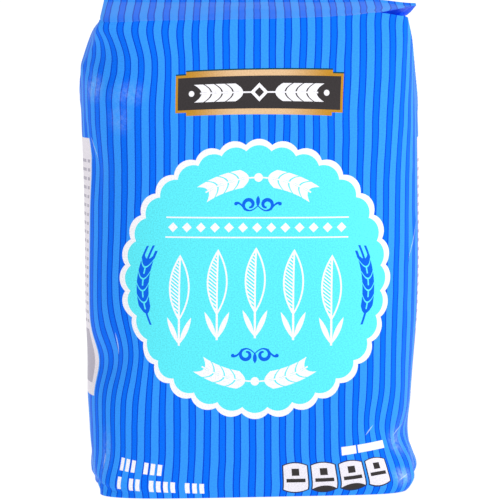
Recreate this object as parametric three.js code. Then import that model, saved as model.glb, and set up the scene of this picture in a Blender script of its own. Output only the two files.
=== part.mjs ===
// Bag of flour: a full paper sack, shut at the top.
// Millimetres. The front faces -Y, +X is to the right and +Z is up.
// The origin is on the table, under the middle of the bag.
//
// The sack is one paper tube with a front, a back and two gusseted sides. It stands on a flat pasted
// bottom. Above the top creases front and back lean together into a low gable, the gussets are tucked
// in under its two ends, and the flattened mouth is folded over and glued to the back slope.

import * as THREE from "three";
import { mergeVertices } from "three/addons/utils/BufferGeometryUtils.js";

// Driving dimensions
const GIRTH = 448; // of the paper tube
const CREASE_HEIGHT = 222.7; // of the folds where the walls turn into the gable
const RIDGE_HEIGHT = 230.5;
const RIDGE_Y = -3;
const RIDGE_LEFT = -69.5;
const RIDGE_RIGHT = 78.5;
const RIDGE_DROOP = 2; // at the right end, which hangs a little
const DROOP_LENGTH = 22;

// The gable's creases end at these distances from the middle of the front and of the back.
const FRONT_CREASE = { left: 72, right: 58 };
const BACK_CREASE = { left: 70, right: 71 };

// The front crease rises to the right, and falls again over the open tuck: pairs of distance round the
// sack from the middle of the front, and rise.
const CREASE_RISE = [[-112, 0], [-70, 0], [0, 0.9], [44, 2.5], [57, 3.9], [73, 1.6], [112, 0]];

const CREASE_RISE_START = 170; // height from which the walls follow that rise

// The bottom's front edge lifts off the table towards the right: by how much, how far up the wall this
// dies out, and between which places the lift grows.
const BASE_RISE = 1.9;
const BASE_RISE_HEIGHT = 30;
const BASE_RISE_X = [-60, 75];
const BASE_RISE_Y = [-40, 0];
const BASE_FLAT = 0.8; // part of the bottom, from its middle, that is flat

// The tucked gussets: from the ridge's end in to the point of the tuck, how far below the ridge that
// point lies, and how far the fold hollows in between. The left one is tucked in flat, and the right
// one stands open.
const TUCKS = {
  left: { depth: 34, gap: 2.2, hollow: 0 },
  right: { depth: 2.5, gap: 5, hollow: 5 },
};
const TUCK_FULL_GAP = 0.25; // part of the way up a slope's edge where the gap is at its widest

// The mouth, folded over and glued to the back slope
const STRIP_WIDTH = 29;
const STRIP_THICKNESS = 1.2;
const STRIP_EDGE = 0.012; // half the step at its cut edge, as a part of the slope
const SLOPE_SWELL = 1.2; // how far a slope crowns over the flour

// How far the walls stand out from the middle, as [height, reach] pairs
const LEFT_REACH = [
  [0, 75.5], [2, 75.7], [6, 77.6], [20, 76.7], [54, 78.4], [90, 79], [120, 79.3], [150, 79.7],
  [177, 80.5], [200, 80.5], [206, 78.9], [212, 76.9], [218, 74.1], [CREASE_HEIGHT, 70.4],
];
const RIGHT_REACH = [
  [0, 77.6], [2, 79.6], [6, 81.2], [12, 79.2], [20, 76.5], [30, 75.7], [54, 77.3], [69, 78.6],
  [84, 79.8], [105, 80.5], [134, 80.3], [177, 79.4], [198, 77.9], [212, 75.6], [CREASE_HEIGHT, 73],
];
const FRONT_REACH = [
  [0, 48.4], [2, 49], [6, 49.4], [20, 49.6], [50, 49.9], [100, 50], [150, 49.8], [190, 48.6],
  [CREASE_HEIGHT, 47.4],
];
const BACK_REACH = [
  [0, 47.6], [2, 48.4], [6, 49], [20, 49.3], [50, 49.8], [100, 50], [150, 49.4], [190, 46.8],
  [CREASE_HEIGHT, 43],
];
// How square the outline is: 2 is an ellipse, and 16 a box with tight corners
const SQUARENESS = [
  [0, 6], [6, 5.5], [20, 4.6], [60, 3.6], [110, 3.1], [165, 3.1], [195, 4], [210, 7],
  [CREASE_HEIGHT, 16],
];

// Dents and folds in the filled walls, where the paper was knocked in: distance round the sack from
// the middle of the front, height, reach both ways, and depth. They die out towards the top creases.
const DENT_FALLOFF = 1.6;
const DENT_TOP = 212;
const DENTS = [
  { round: -80, height: 156, across: 13, along: 20, depth: 2.6 },
  { round: -77, height: 63, across: 20, along: 15, depth: 5 },
  { round: 80, height: 28, across: 17, along: 10, depth: 3 },
  { round: -76, height: 207, across: 18, along: 16, depth: 3.4 },
  { round: 118, height: 70, across: 14, along: 40, depth: 2.4 },
  { round: -116, height: 100, across: 13, along: 48, depth: 2.2 },
  { round: 150, height: 196, across: 26, along: 15, depth: 2.6 },
  { round: -160, height: 40, across: 18, along: 16, depth: 3.2 },
  { round: -89, height: 0, across: 18, along: 16, depth: 5.4 },
  { round: 94, height: 0, across: 19, along: 13, depth: 6.2 },
];

// Mesh steps
const FRONT_STEPS = 26;
const SLOPE_STEPS = 8;
const TUCK_STEPS = 3;
const OUTLINE_STEPS = 720;
const TANGENT_STEP = 0.5; // millimetres round the sack
const WALL_HEIGHTS = [
  0, 0.7, 2, 4, 7, 12, 18, 24, 30, 37, 46, 55, 63, 71, 80, 92, 105, 118, 131, 144, 156, 167,
  178, 188, 197, 203, 208, 213, 218, CREASE_HEIGHT,
];

const lerp = THREE.MathUtils.lerp;
const smoothstep = THREE.MathUtils.smoothstep;

// A smooth curve through [place, value] pairs, flat past both ends
function along(pairs, place) {
  const last = pairs.length - 1;
  if (place <= pairs[0][0]) return pairs[0][1];
  if (place >= pairs[last][0]) return pairs[last][1];
  let i = 0;
  while (pairs[i + 1][0] < place) i += 1;
  const slope = (k) => {
    const before = pairs[Math.max(k - 1, 0)];
    const after = pairs[Math.min(k + 1, last)];
    return (after[1] - before[1]) / (after[0] - before[0]);
  };
  const span = pairs[i + 1][0] - pairs[i][0];
  const t = (place - pairs[i][0]) / span;
  const [a, b] = [pairs[i][1], pairs[i + 1][1]];
  const [da, db] = [slope(i) * span, slope(i + 1) * span];
  const t2 = t * t;
  const t3 = t2 * t;
  return (2 * t3 - 3 * t2 + 1) * a + (t3 - 2 * t2 + t) * da + (3 * t2 - 2 * t3) * b + (t3 - t2) * db;
}

// The level outline at a height: half of it, from the middle of the front round to the middle of the
// back, as points with their distance along it
function halfOutline(height, reach) {
  const front = along(FRONT_REACH, height);
  const back = along(BACK_REACH, height);
  const square = along(SQUARENESS, height);
  const points = [];
  let length = 0;
  for (let k = 0; k <= OUTLINE_STEPS; k += 1) {
    const angle = (Math.PI * k) / OUTLINE_STEPS;
    const [c, s] = [Math.cos(angle), Math.sin(angle)];
    const deep = c > 0 ? front : back;
    const radius = (Math.abs(s / reach) ** square + Math.abs(c / deep) ** square) ** (-1 / square);
    const point = new THREE.Vector2(radius * s, -radius * c);
    if (k > 0) length += point.distanceTo(points[k - 1].point);
    points.push({ point, length });
  }
  return points;
}

const outlines = new Map();

function outlineAt(height) {
  if (!outlines.has(height)) {
    outlines.set(height, {
      left: halfOutline(height, along(LEFT_REACH, height)),
      right: halfOutline(height, along(RIGHT_REACH, height)),
    });
  }
  return outlines.get(height);
}

// The point at a distance round the sack, negative to the left, before dents
function roundPoint(round, height) {
  const half = round < 0 ? outlineAt(height).left : outlineAt(height).right;
  const total = half[half.length - 1].length;
  const want = (Math.abs(round) / (GIRTH / 2)) * total;
  let low = 0;
  let high = half.length - 1;
  while (high - low > 1) {
    const middle = (low + high) >> 1;
    if (half[middle].length <= want) low = middle;
    else high = middle;
  }
  const span = half[high].length - half[low].length;
  const t = THREE.MathUtils.clamp((want - half[low].length) / span, 0, 1);
  const point = half[low].point.clone().lerp(half[high].point, t);
  return new THREE.Vector2(round < 0 ? -point.x : point.x, point.y);
}

// How far the dents push a place on the wall in
function dentDepth(round, height) {
  let depth = 0;
  for (const dent of DENTS) {
    const a = (round - dent.round) / dent.across;
    const b = (height - dent.height) / dent.along;
    depth += dent.depth * Math.exp(-DENT_FALLOFF * (a * a + b * b));
  }
  return depth * (1 - smoothstep(height, DENT_TOP, CREASE_HEIGHT));
}

function wallPoint(round, height) {
  const flat = roundPoint(round, height);
  const ahead = roundPoint(round + TANGENT_STEP, height);
  const tangent = ahead.sub(roundPoint(round - TANGENT_STEP, height)).normalize();
  const depth = dentDepth(round, height);
  const x = flat.x - tangent.y * depth;
  const y = flat.y + tangent.x * depth;
  const top = along(CREASE_RISE, round) * smoothstep(height, CREASE_RISE_START, CREASE_HEIGHT);
  const low = BASE_RISE * smoothstep(x, ...BASE_RISE_X) * (1 - smoothstep(y, ...BASE_RISE_Y));
  return new THREE.Vector3(x, y, height + top + low * (1 - smoothstep(height, 0, BASE_RISE_HEIGHT)));
}

// The ridge, from its left end at 0 to its right end at 1
function ridgePoint(across) {
  const x = lerp(RIDGE_LEFT, RIDGE_RIGHT, across);
  const droop = smoothstep(x, RIDGE_RIGHT - DROOP_LENGTH, RIDGE_RIGHT) * RIDGE_DROOP;
  return new THREE.Vector3(x, RIDGE_Y, RIDGE_HEIGHT - droop);
}

// A point of a slope: across from left to right, and up from the crease to the ridge
function slopePoint(side, across, up) {
  const crease = side === "front" ? FRONT_CREASE : BACK_CREASE;
  const toRound = (x) => (side === "front" ? x : Math.sign(x || 1) * (GIRTH / 2 - Math.abs(x)));
  const start = wallPoint(toRound(lerp(-crease.left, crease.right, across)), CREASE_HEIGHT);
  const point = start.clone().lerp(ridgePoint(across), up);
  point.z += SLOPE_SWELL * Math.sin(Math.PI * up) * Math.sqrt(Math.sin(Math.PI * across));
  if (side === "back") point.z += STRIP_THICKNESS * stripCover(start, up) * (up < 1 ? 1 : 0);
  return point;
}

// 1 where the glued strip lies on the back slope, and 0 below its cut edge
function stripCover(start, up) {
  const slope = Math.hypot(start.y - RIDGE_Y, RIDGE_HEIGHT - start.z);
  return (1 - up) * slope < STRIP_WIDTH ? 1 : 0;
}

// Steps up a slope. The back has two close steps at the cut edge of the strip.
function slopeSteps(side) {
  const even = Array.from({ length: SLOPE_STEPS + 1 }, (_, k) => k / SLOPE_STEPS);
  if (side === "front") return even;
  const slope = Math.hypot(BACK_REACH[BACK_REACH.length - 1][1] - RIDGE_Y, RIDGE_HEIGHT - CREASE_HEIGHT);
  const edge = 1 - STRIP_WIDTH / slope;
  const clear = even.filter((up) => Math.abs(up - edge) > 0.5 / SLOPE_STEPS);
  return [...clear, edge - STRIP_EDGE, edge + STRIP_EDGE].sort((a, b) => a - b);
}

const corners = {
  left: { across: 0, inX: 1, tuckX: RIDGE_LEFT + TUCKS.left.depth },
  right: { across: 1, inX: -1, tuckX: RIDGE_RIGHT - TUCKS.right.depth },
};

// A point of the tuck at one end. Steps run from the wall's edge in to the fold, and then out along
// the underside of the slope to the slope's own edge.
function tuckPoint(end, side, up, inward) {
  const corner = corners[end];
  const reach = side === "front" ? FRONT_CREASE[end] : GIRTH / 2 - BACK_CREASE[end];
  const sign = end === "left" ? -1 : 1;
  const round = sign * lerp(reach, GIRTH / 4, up);
  const wall = wallPoint(round, CREASE_HEIGHT);
  const edge = slopePoint(side, corner.across, up);
  const foot = slopePoint(side, corner.across, 0);
  const { gap, hollow } = TUCKS[end];
  const deep = new THREE.Vector3(corner.tuckX, RIDGE_Y, RIDGE_HEIGHT - gap);
  const fold = foot.clone().lerp(deep, up);
  fold.x += corner.inX * hollow * Math.sin(Math.PI * up);
  fold.z -= gap * Math.min(1, up / TUCK_FULL_GAP) * (1 - up);
  if (inward <= 0.5) return wall.clone().lerp(fold, inward * 2);
  return fold.clone().lerp(edge, (inward - 0.5) * 2);
}

// Puts triangles over a grid of points, and leaves out those with no area.
function addGrid(triangles, rows) {
  for (let j = 0; j + 1 < rows.length; j += 1) {
    for (let i = 0; i + 1 < rows[j].length; i += 1) {
      const [a, b] = [rows[j][i], rows[j][i + 1]];
      const [c, d] = [rows[j + 1][i + 1], rows[j + 1][i]];
      addTriangle(triangles, a, b, c);
      addTriangle(triangles, a, c, d);
    }
  }
}

function addTriangle(triangles, a, b, c) {
  const tiny = 1e-4;
  if (a.distanceTo(b) < tiny || b.distanceTo(c) < tiny || c.distanceTo(a) < tiny) return;
  for (const point of [a, b, c]) triangles.push(point.x, point.y, point.z);
}

// The distances round the sack of the wall's columns, from the left front corner round to itself
function wallColumns() {
  const spread = (from, to, parts) => parts.map((part) => lerp(from, to, part));
  const even = Array.from({ length: FRONT_STEPS + 1 }, (_, k) => k / FRONT_STEPS);
  const half = GIRTH / 2;
  const quarter = GIRTH / 4;
  const upFront = slopeSteps("front");
  const upBack = slopeSteps("back");
  const downBack = upBack.map((up) => 1 - up).reverse();
  const downFront = upFront.map((up) => 1 - up).reverse();
  const columns = [
    ...spread(-FRONT_CREASE.left, FRONT_CREASE.right, even),
    ...spread(FRONT_CREASE.right, quarter, upFront),
    ...spread(quarter, half - BACK_CREASE.right, downBack),
    ...even.map((part) => half - lerp(BACK_CREASE.right, -BACK_CREASE.left, part)),
    ...spread(-half + BACK_CREASE.left, -quarter, upBack),
    ...spread(-quarter, -FRONT_CREASE.left, downFront),
  ];
  return columns.map((round) => (round > half ? round - GIRTH : round));
}

function flourBagGeometry() {
  const triangles = [];
  const columns = wallColumns();
  addGrid(triangles, WALL_HEIGHTS.map((height) => columns.map((round) => wallPoint(round, height))));

  const middle = new THREE.Vector3(0, 0, 0);
  const base = columns.map((round) => wallPoint(round, 0));
  const flat = base.map((point) => new THREE.Vector3(point.x * BASE_FLAT, point.y * BASE_FLAT, 0));
  addGrid(triangles, [flat, base]);
  for (let i = 0; i + 1 < flat.length; i += 1) addTriangle(triangles, flat[i + 1], flat[i], middle);

  const even = Array.from({ length: FRONT_STEPS + 1 }, (_, k) => k / FRONT_STEPS);
  const rowsOf = (side, steps, places) => steps.map((up) => places.map((x) => slopePoint(side, x, up)));
  addGrid(triangles, rowsOf("front", slopeSteps("front"), even));
  addGrid(triangles, rowsOf("back", slopeSteps("back"), [...even].reverse()));

  const inward = Array.from({ length: 2 * TUCK_STEPS + 1 }, (_, k) => k / (2 * TUCK_STEPS));
  for (const end of ["left", "right"]) {
    for (const side of ["front", "back"]) {
      const forward = (end === "right") === (side === "front");
      const ups = forward ? slopeSteps(side) : [...slopeSteps(side)].reverse();
      addGrid(triangles, inward.map((part) => ups.map((up) => tuckPoint(end, side, up, part))));
    }
  }

  const geometry = new THREE.BufferGeometry();
  geometry.setAttribute("position", new THREE.Float32BufferAttribute(triangles, 3));
  return mergeVertices(geometry, 1e-3);
}

// Moves a geometry so that its box is centred over the origin and stands on it
function standAtOrigin(geometry) {
  geometry.computeBoundingBox();
  const box = geometry.boundingBox;
  geometry.translate(-(box.min.x + box.max.x) / 2, -(box.min.y + box.max.y) / 2, -box.min.z);
  geometry.computeVertexNormals();
  return geometry;
}

// Sack kraft, bleached white inside and printed blue outside with a light gloss
const printedPaper = new THREE.MeshStandardMaterial({
  name: "printed sack paper",
  color: 0x2f86fb,
  roughness: 0.5,
  metalness: 0,
});

const bag = new THREE.Mesh(standAtOrigin(flourBagGeometry()), printedPaper);
bag.name = "flour_bag";

const group = new THREE.Group();
group.name = "bag_of_flour";
group.add(bag);

export default group;
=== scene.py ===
"""A shut paper sack of flour, with its print and folds, on a plain white stage.

Lengths are millimetres up to the point where a mesh is made, and metres from there on.
"""

import math
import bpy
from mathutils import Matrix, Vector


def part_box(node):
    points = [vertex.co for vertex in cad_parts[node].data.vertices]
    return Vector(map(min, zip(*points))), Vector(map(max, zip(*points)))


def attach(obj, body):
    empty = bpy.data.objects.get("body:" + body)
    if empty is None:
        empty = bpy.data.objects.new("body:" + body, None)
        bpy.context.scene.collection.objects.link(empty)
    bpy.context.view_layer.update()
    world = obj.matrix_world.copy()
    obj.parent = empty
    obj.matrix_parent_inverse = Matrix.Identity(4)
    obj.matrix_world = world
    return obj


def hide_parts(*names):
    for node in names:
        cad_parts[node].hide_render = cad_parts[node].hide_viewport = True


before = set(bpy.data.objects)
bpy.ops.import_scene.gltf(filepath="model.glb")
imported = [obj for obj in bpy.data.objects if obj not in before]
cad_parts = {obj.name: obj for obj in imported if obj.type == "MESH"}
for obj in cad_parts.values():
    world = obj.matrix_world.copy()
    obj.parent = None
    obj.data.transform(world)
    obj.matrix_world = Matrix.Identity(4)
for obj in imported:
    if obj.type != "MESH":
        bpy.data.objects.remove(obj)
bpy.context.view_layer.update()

from types import SimpleNamespace

import bmesh
import bpy
import numpy as np
from mathutils import Vector, noise

bl_info = {
    "name": "Bag of flour",
    "version": (1, 0, 0),
    "blender": (4, 5, 0),
    "location": "3D View > Sidebar > Flour bag",
    "description": "Makes a filled, printed paper sack of flour, and a plain stage for it",
    "category": "Add Mesh",
}

MM = 0.001
SOLID = "flour_bag"
PAPER_MAP = "paper"
# What each vertex keeps: how far round and up the tube it lies, and how free it is to crumple
VERTEX_LAYERS = ("around", "up", "crumples")

# The tube of paper and its gable
GIRTH = 448
CREASE_HEIGHT = 222.7
RIDGE_HEIGHT = 230.5
RIDGE_Y = -3
RIDGE_LEFT = -69.5
RIDGE_RIGHT = 78.5
RIDGE_DROOP = 2
DROOP_LENGTH = 22
FRONT_CREASE = {"left": 72, "right": 58}
BACK_CREASE = {"left": 70, "right": 71}
CREASE_RISE = ((-112, 0), (-70, 0), (0, 0.9), (44, 2.5), (57, 3.9), (73, 1.6), (112, 0))
CREASE_RISE_START = 170
# The lift of the bottom edge at the right of the front: how high, where it dies out on the way up,
# and between which places across and back it grows and fades
BASE_RISE = 1.9
BASE_RISE_HEIGHT = 30
BASE_RISE_ACROSS = (-60, 75)
BASE_RISE_BACK = (-40, 0)
# How much of the bottom lies inside its outer ring of faces
BASE_FLAT = 0.8
# The tucks: depth from the ridge's end, drop below the ridge, and hollow of the fold between
TUCKS = {"left": (34, 2.2, 0), "right": (2.5, 5, 5)}
# The part of the way up a tuck where its fold has dropped all the way
TUCK_FULL_DROP = 0.25
STRIP_WIDTH = 29
STRIP_THICKNESS = 1.2
SLOPE_SWELL = 1.2

# How far the walls stand out from the middle, as (height, reach) pairs
LEFT_REACH = (
    (0, 75.5), (2, 75.7), (6, 77.6), (20, 76.7), (54, 78.4), (90, 79), (120, 79.3), (150, 79.7),
    (177, 80.5), (200, 80.5), (206, 78.9), (212, 76.9), (218, 74.1), (CREASE_HEIGHT, 70.4),
)
RIGHT_REACH = (
    (0, 77.6), (2, 79.6), (6, 81.2), (12, 79.2), (20, 76.5), (30, 75.7), (54, 77.3), (69, 78.6),
    (84, 79.8), (105, 80.5), (134, 80.3), (177, 79.4), (198, 77.9), (212, 75.6), (CREASE_HEIGHT, 73),
)
FRONT_REACH = (
    (0, 48.4), (2, 49), (6, 49.4), (20, 49.6), (50, 49.9), (100, 50), (150, 49.8), (190, 48.6),
    (CREASE_HEIGHT, 47.4),
)
BACK_REACH = (
    (0, 47.6), (2, 48.4), (6, 49), (20, 49.3), (50, 49.8), (100, 50), (150, 49.4), (190, 46.8),
    (CREASE_HEIGHT, 43),
)
# How square the level outline is: 2 is an ellipse, and 16 a box with tight corners
SQUARENESS = (
    (0, 6), (6, 5.5), (20, 4.6), (60, 3.6), (110, 3.1), (165, 3.1), (195, 4), (210, 7),
    (CREASE_HEIGHT, 16),
)
# How quickly dents and pulls die out over their reach, and the height where dents begin to fade
FALLOFF = 1.6
DENT_TOP = 212
# Knocked-in places: distance round from the middle of the front, height, reach both ways, depth
DENTS = (
    (-80, 156, 13, 20, 2.6), (-77, 63, 20, 15, 5), (80, 28, 17, 10, 3), (-76, 207, 18, 16, 3.4),
    (118, 70, 14, 40, 2.4), (-116, 100, 13, 48, 2.2), (150, 196, 26, 15, 2.6), (-160, 40, 18, 16, 3.2),
    (-89, 0, 18, 16, 5.4), (94, 0, 19, 13, 6.2),
)

# Where filling the sack pulled its print askew: distance round, height, reach both ways, and how far
# the print moved round and up
PULLS = (
    (-58, 203, 30, 17, 4.2, 0), (-80, 160, 14, 34, -3.2, 0), (-60, 68, 17, 22, 5.2, 0),
    (-80, 25, 22, 45, 8, 0), (75, 222, 38, 18, -3.6, 0), (76, 185, 22, 30, 2.2, 0),
    (72, 70, 14, 40, -1.6, 0), (64, 36, 16, 14, -2.8, 0), (68, 8, 14, 40, -2.2, 0),
    (76, 2, 11, 14, -4, 0), (66, 10, 24, 16, 0, 3.6), (66, 225, 26, 7, 1.6, 0),
)
# How far up its map the paper inside the tucks lies, clear of the print outside
TUCK_SHIFT = 1000
# Where the paper is too tightly folded to crumple: this far in from the ends of the gable, from this
# part of the way up a slope, and from this part of the way into a tuck
STIFF_EDGE = 18
STIFF_RISE = 0.25
STIFF_TUCK = 0.25
# How far the whole print leans to the right, by height
PRINT_LEAN = ((0, -0.4), (20, 0), (60, 0), (103, 0.15), (140, 1.5), (172, 2.1))

# Mesh steps
OUTLINE_STEPS = 720
FRONT_STEPS = 130
SLOPE_STEPS = 32
TUCK_STEPS = 10
WALL_STEPS = 196
BASE_STEPS = 12
BASE_EDGE_STEPS = 4
# Half of the strip's cut edge, as a part of the way up the slope
STRIP_EDGE = 0.006
# How far past its width a point may lie and still carry the strip's print
STRIP_MARGIN = 0.5
# How far to both sides a wall's direction is taken from
TANGENT_STEP = 0.5
# Points closer than this are one, and edges shorter than this are dropped
MERGE_DISTANCE = 0.01
SHORTEST_EDGE = 0.001
# Edges with a turn over this are folded sharp
SHARP_FOLD = math.radians(55)


def lerp(a, b, t):
    return a + (b - a) * t


def smoothstep(value, low, high):
    t = np.clip((value - low) / (high - low), 0, 1)
    return t * t * (3 - 2 * t)


def along(pairs, place):
    """A smooth curve through (place, value) pairs, flat past both ends."""
    places, values = np.array(pairs, dtype=float).T
    count = len(places)
    before = np.maximum(np.arange(count) - 1, 0)
    after = np.minimum(np.arange(count) + 1, count - 1)
    slopes = (values[after] - values[before]) / (places[after] - places[before])
    place = np.clip(place, places[0], places[-1])
    i = np.clip(np.searchsorted(places, place, side="right") - 1, 0, count - 2)
    span = places[i + 1] - places[i]
    t = (place - places[i]) / span
    start = (2 * t**3 - 3 * t**2 + 1) * values[i] + (t**3 - 2 * t**2 + t) * slopes[i] * span
    return start + (3 * t**2 - 2 * t**3) * values[i + 1] + (t**3 - t**2) * slopes[i + 1] * span


def half_outline(height, reach):
    """Half of the level outline, from the middle of the front to the middle of the back."""
    angle = np.linspace(0, math.pi, OUTLINE_STEPS + 1)
    square = along(SQUARENESS, height)
    deep = np.where(np.cos(angle) > 0, along(FRONT_REACH, height), along(BACK_REACH, height))
    total = np.abs(np.sin(angle) / reach) ** square + np.abs(np.cos(angle) / deep) ** square
    radius = total ** (-1 / square)
    x = radius * np.sin(angle)
    y = -radius * np.cos(angle)
    length = np.concatenate([[0], np.cumsum(np.hypot(np.diff(x), np.diff(y)))])
    return x, y, length


def round_points(rounds, height):
    """Level points at distances round the sack, negative to the left, before dents."""
    x = np.zeros(len(rounds))
    y = np.zeros(len(rounds))
    for side, reach in ((-1, LEFT_REACH), (1, RIGHT_REACH)):
        mine = rounds < 0 if side < 0 else rounds >= 0
        across, deep, length = half_outline(height, along(reach, height))
        want = np.abs(rounds[mine]) / (GIRTH / 2) * length[-1]
        x[mine] = side * np.interp(want, length, across)
        y[mine] = np.interp(want, length, deep)
    return x, y


def wall_points(rounds, height):
    """Points of the wall at one height, at distances round the sack."""
    rounds = (np.asarray(rounds, dtype=float) + GIRTH / 2) % GIRTH - GIRTH / 2
    x, y = round_points(rounds, height)
    ahead = round_points(rounds + TANGENT_STEP, height)
    behind = round_points(rounds - TANGENT_STEP, height)
    run = np.hypot(ahead[0] - behind[0], ahead[1] - behind[1])
    tangent_x = (ahead[0] - behind[0]) / run
    tangent_y = (ahead[1] - behind[1]) / run
    depth = 0
    for dent_round, dent_height, across, up, dent in DENTS:
        a = (rounds - dent_round) / across
        b = (height - dent_height) / up
        depth = depth + dent * np.exp(-FALLOFF * (a * a + b * b))
    depth = depth * (1 - smoothstep(height, DENT_TOP, CREASE_HEIGHT))
    x = x - tangent_y * depth
    y = y + tangent_x * depth
    top = along(CREASE_RISE, rounds) * smoothstep(height, CREASE_RISE_START, CREASE_HEIGHT)
    low = BASE_RISE * smoothstep(x, *BASE_RISE_ACROSS) * (1 - smoothstep(y, *BASE_RISE_BACK))
    low = low * (1 - smoothstep(height, 0, BASE_RISE_HEIGHT))
    return np.stack([x, y, height + top + low], axis=-1)


def ridge_points(across):
    x = lerp(RIDGE_LEFT, RIDGE_RIGHT, across)
    droop = smoothstep(x, RIDGE_RIGHT - DROOP_LENGTH, RIDGE_RIGHT) * RIDGE_DROOP
    return np.stack([x, np.full_like(x, RIDGE_Y), RIDGE_HEIGHT - droop], axis=-1)


def slope_rounds(side, across):
    """Distances round the sack along a slope's crease, from its left end at 0 to its right end at 1."""
    if side == "front":
        return lerp(-FRONT_CREASE["left"], FRONT_CREASE["right"], across)
    return GIRTH / 2 - lerp(-BACK_CREASE["left"], BACK_CREASE["right"], across)


def slope_points(side, across, up):
    """Points of a slope, at one part of the way up from the crease to the ridge."""
    across = np.atleast_1d(np.asarray(across, dtype=float))
    start = wall_points(slope_rounds(side, across), CREASE_HEIGHT)
    points = lerp(start, ridge_points(across), up)
    points[:, 2] += SLOPE_SWELL * math.sin(math.pi * up) * np.sqrt(np.abs(np.sin(np.pi * across)))
    if side == "back" and up < 1:
        slope = np.hypot(start[:, 1] - RIDGE_Y, RIDGE_HEIGHT - start[:, 2])
        points[:, 2] += STRIP_THICKNESS * ((1 - up) * slope < STRIP_WIDTH)
    return points


def slope_steps(side):
    """Steps up a slope. The back has two close steps at the cut edge of the strip."""
    even = np.linspace(0, 1, SLOPE_STEPS + 1)
    if side == "front":
        return even
    slope = math.hypot(BACK_REACH[-1][1] - RIDGE_Y, RIDGE_HEIGHT - CREASE_HEIGHT)
    edge = 1 - STRIP_WIDTH / slope
    clear = even[np.abs(even - edge) > 0.5 / SLOPE_STEPS]
    return np.sort(np.concatenate([clear, [edge - STRIP_EDGE, edge + STRIP_EDGE]]))


def tuck_rounds(end, side, up):
    """Distances round the sack along the edge of a tuck, from the slope's end to the gusset's middle."""
    crease = FRONT_CREASE if side == "front" else BACK_CREASE
    reach = crease[end] if side == "front" else GIRTH / 2 - crease[end]
    rounds = lerp(reach, GIRTH / 4, up)
    return rounds if end == "right" else GIRTH - rounds


def tuck_points(end, side, up, inward):
    """Points of the tuck at one end: from the wall in to the fold, and out under the slope's edge."""
    depth, gap, hollow = TUCKS[end]
    across = 0 if end == "left" else 1
    inward_x = 1 - 2 * across
    deep_x = lerp(RIDGE_LEFT, RIDGE_RIGHT, across) + inward_x * depth
    wall = wall_points(tuck_rounds(end, side, up), CREASE_HEIGHT)
    edge = np.concatenate([slope_points(side, across, part) for part in up])
    foot = slope_points(side, across, 0)
    deep = np.array([[deep_x, RIDGE_Y, RIDGE_HEIGHT - gap]])
    fold = lerp(foot, deep, up[:, None])
    fold[:, 0] += inward_x * hollow * np.sin(math.pi * up)
    fold[:, 2] -= gap * np.minimum(1, up / TUCK_FULL_DROP) * (1 - up)
    if inward <= 0.5:
        return lerp(wall, fold, inward * 2)
    return lerp(fold, edge, (inward - 0.5) * 2)


def wall_columns():
    """Distances round the sack of the wall's columns, once round from the left front corner."""
    even = np.linspace(0, 1, FRONT_STEPS + 1)
    spans = [
        slope_rounds("front", even),
        tuck_rounds("right", "front", slope_steps("front")),
        tuck_rounds("right", "back", slope_steps("back")[::-1]),
        slope_rounds("back", even[::-1]),
        tuck_rounds("left", "back", slope_steps("back")),
        tuck_rounds("left", "front", slope_steps("front")[::-1]),
    ]
    columns = np.concatenate(spans)
    return columns[np.concatenate([[True], np.diff(columns) > 1e-6])]


def printed(marks):
    """Which place of the print lies at each place of the tube."""
    around, up = marks[..., 0], marks[..., 1]
    moved_around = along(PRINT_LEAN, up)
    moved_up = np.zeros_like(up)
    for pull_around, pull_up, across, high, shift_around, shift_up in PULLS:
        offset = (around - pull_around + GIRTH / 2) % GIRTH - GIRTH / 2
        a = offset / across
        b = (up - pull_up) / high
        part = np.exp(-FALLOFF * (a * a + b * b))
        moved_around = moved_around + shift_around * part
        moved_up = moved_up + shift_up * part
    return np.stack([around - moved_around, up - moved_up], axis=-1)


def sheet(bm, points, marks, free=1, tucked=False):
    """Lays a grid of paper over rows of points, and keeps where each one is on the flat tube.

    How free each place is to crumple runs from 0 to 1.
    """
    rows, columns = points.shape[:2]
    free = np.broadcast_to(free, (rows, columns))
    prints = printed(marks) + (0, TUCK_SHIFT * tucked)
    grid = bmesh.ops.create_grid(bm, x_segments=columns - 1, y_segments=rows - 1, size=1)
    around, up, crumples = (bm.verts.layers.float[layer] for layer in VERTEX_LAYERS)
    uv = bm.loops.layers.uv[PAPER_MAP]
    spots = {}
    for vertex in grid["verts"]:
        i = round((vertex.co.x + 1) / 2 * (columns - 1))
        j = round((vertex.co.y + 1) / 2 * (rows - 1))
        spots[vertex] = (j, i)
        vertex.co = points[j, i]
        vertex[around], vertex[up] = marks[j, i]
        vertex[crumples] = free[j, i]
    for face in {face for vertex in grid["verts"] for face in vertex.link_faces}:
        face.smooth = True
        for loop in face.loops:
            loop[uv].uv = prints[spots[loop.vert]]


def add_walls(bm, columns):
    heights = np.linspace(0, CREASE_HEIGHT, WALL_STEPS + 1)
    points = np.array([wall_points(columns, height) for height in heights])
    marks = np.array([[(column, height) for column in columns] for height in heights])
    sheet(bm, points, marks)


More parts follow.
